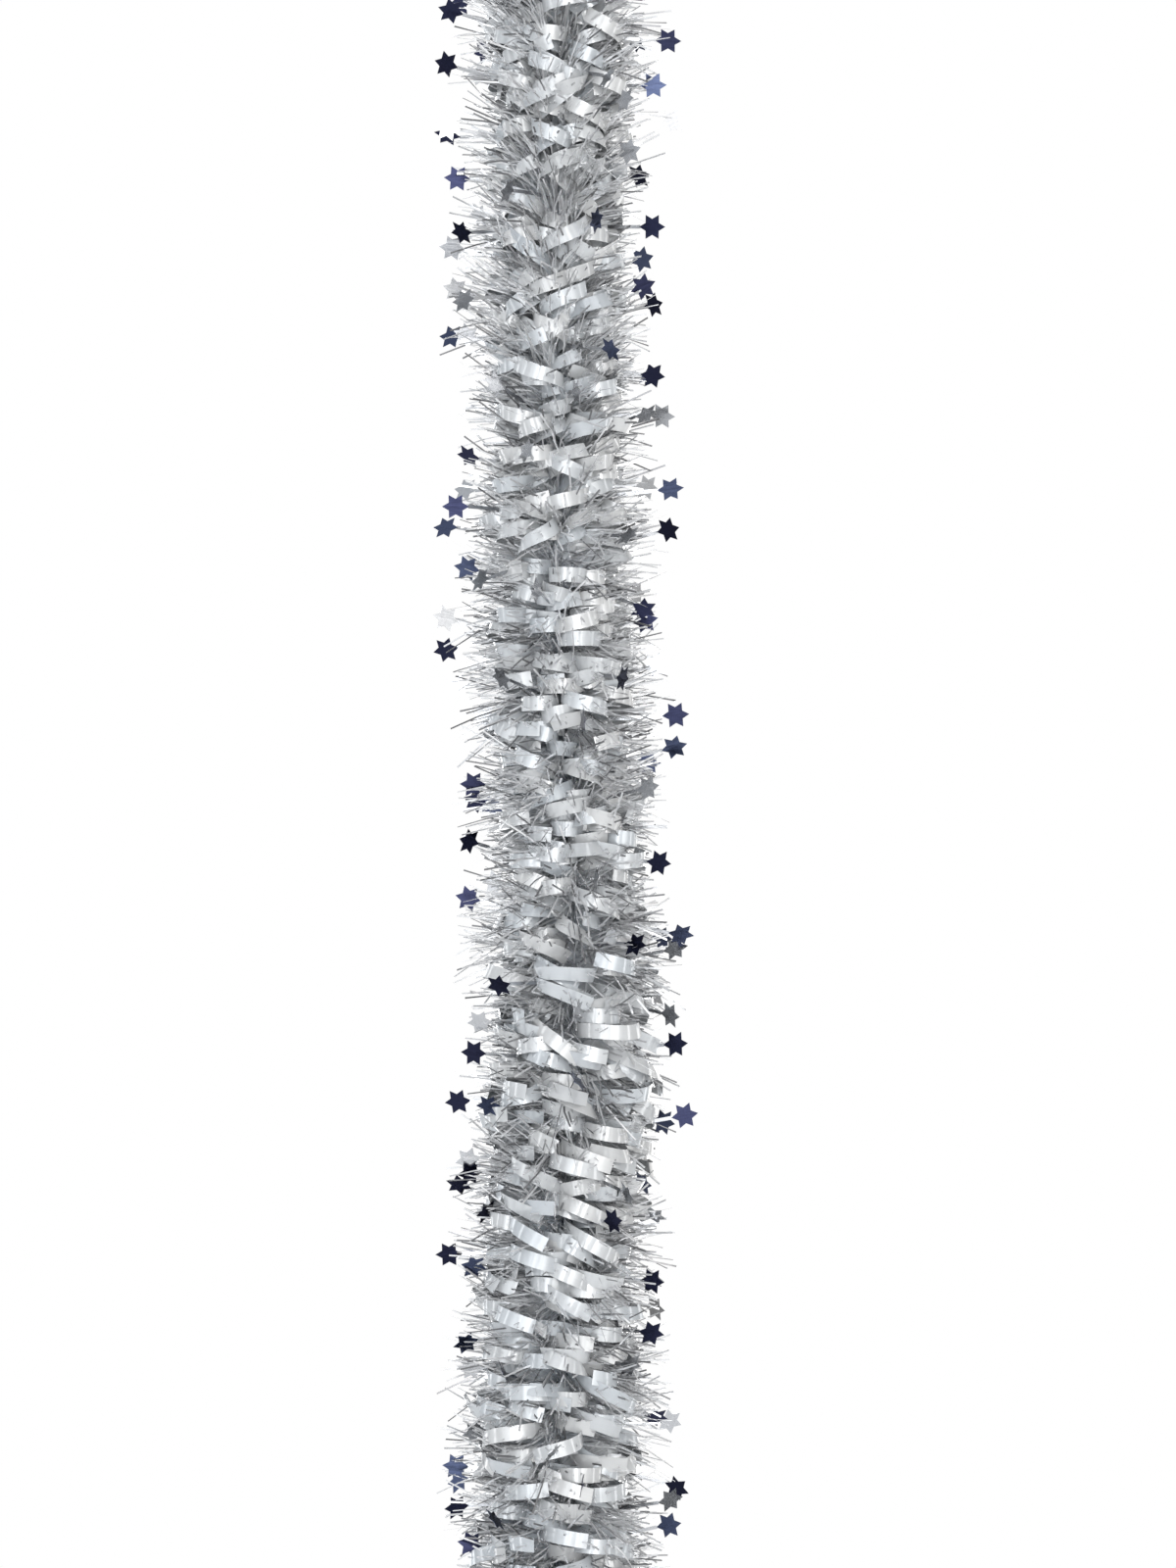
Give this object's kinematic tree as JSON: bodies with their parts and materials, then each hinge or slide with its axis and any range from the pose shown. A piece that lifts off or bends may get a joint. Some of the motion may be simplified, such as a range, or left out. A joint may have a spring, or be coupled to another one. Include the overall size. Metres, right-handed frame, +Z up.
{
  "type": "tinsel boa",
  "caption": "Star tinsel boa, white film strips, silver fringe and foil stars on a twisted wire core, with a hanging eye at each end.",
  "frame": {"origin": "centre of the upper hanging eye", "axes": "+Z up along the hanging core, towards the upper eye; X across the eye's opening, in the plane of its ring; Y through the eye"},
  "size_m": [0.1, 0.1, 0.6636],
  "materials": {
    "core_wire": "drawn, bright",
    "white_film": "pearly white plastic film, glossy",
    "silver_foil": "metallised film, mirror bright",
    "star_foil": "metallised film with a blue grey tint, mirror bright"
  },
  "bodies": {
    "length_1": {"upper_eye": "core_wire", "upper_tail_wrap": "core_wire", "core_wire_a_1": "core_wire", "core_wire_b_1": "core_wire", "white_strips_1": "white_film", "silver_fringe_1": "silver_foil", "star_strands_1": "star_foil"},
    "length_2": {"core_wire_a_2": "core_wire", "core_wire_b_2": "core_wire", "white_strips_2": "white_film", "silver_fringe_2": "silver_foil", "star_strands_2": "star_foil"},
    "length_3": {"core_wire_a_3": "core_wire", "core_wire_b_3": "core_wire", "white_strips_3": "white_film", "silver_fringe_3": "silver_foil", "star_strands_3": "star_foil"},
    "length_4": {"core_wire_a_4": "core_wire", "core_wire_b_4": "core_wire", "white_strips_4": "white_film", "silver_fringe_4": "silver_foil", "star_strands_4": "star_foil"},
    "length_5": {"core_wire_a_5": "core_wire", "core_wire_b_5": "core_wire", "white_strips_5": "white_film", "silver_fringe_5": "silver_foil", "star_strands_5": "star_foil"},
    "length_6": {"core_wire_a_6": "core_wire", "core_wire_b_6": "core_wire", "white_strips_6": "white_film", "silver_fringe_6": "silver_foil", "star_strands_6": "star_foil", "lower_tail_wrap": "core_wire", "lower_eye": "core_wire"}
  },
  "joints": [
    {"name": "bend_1", "type": "hinge", "parent": "length_1", "child": "length_2", "pos_m": [0, 0, -0.125], "axis": [0, 1, 0], "range_deg": [-45, 45]},
    {"name": "bend_2", "type": "hinge", "parent": "length_2", "child": "length_3", "pos_m": [0, 0, -0.225], "axis": [1, 0, 0], "range_deg": [-45, 45]},
    {"name": "bend_3", "type": "hinge", "parent": "length_3", "child": "length_4", "pos_m": [0, 0, -0.325], "axis": [0, 1, 0], "range_deg": [-45, 45]},
    {"name": "bend_4", "type": "hinge", "parent": "length_4", "child": "length_5", "pos_m": [0, 0, -0.425], "axis": [1, 0, 0], "range_deg": [-45, 45]},
    {"name": "bend_5", "type": "hinge", "parent": "length_5", "child": "length_6", "pos_m": [0, 0, -0.525], "axis": [0, 1, 0], "range_deg": [-45, 45]}
  ]
}
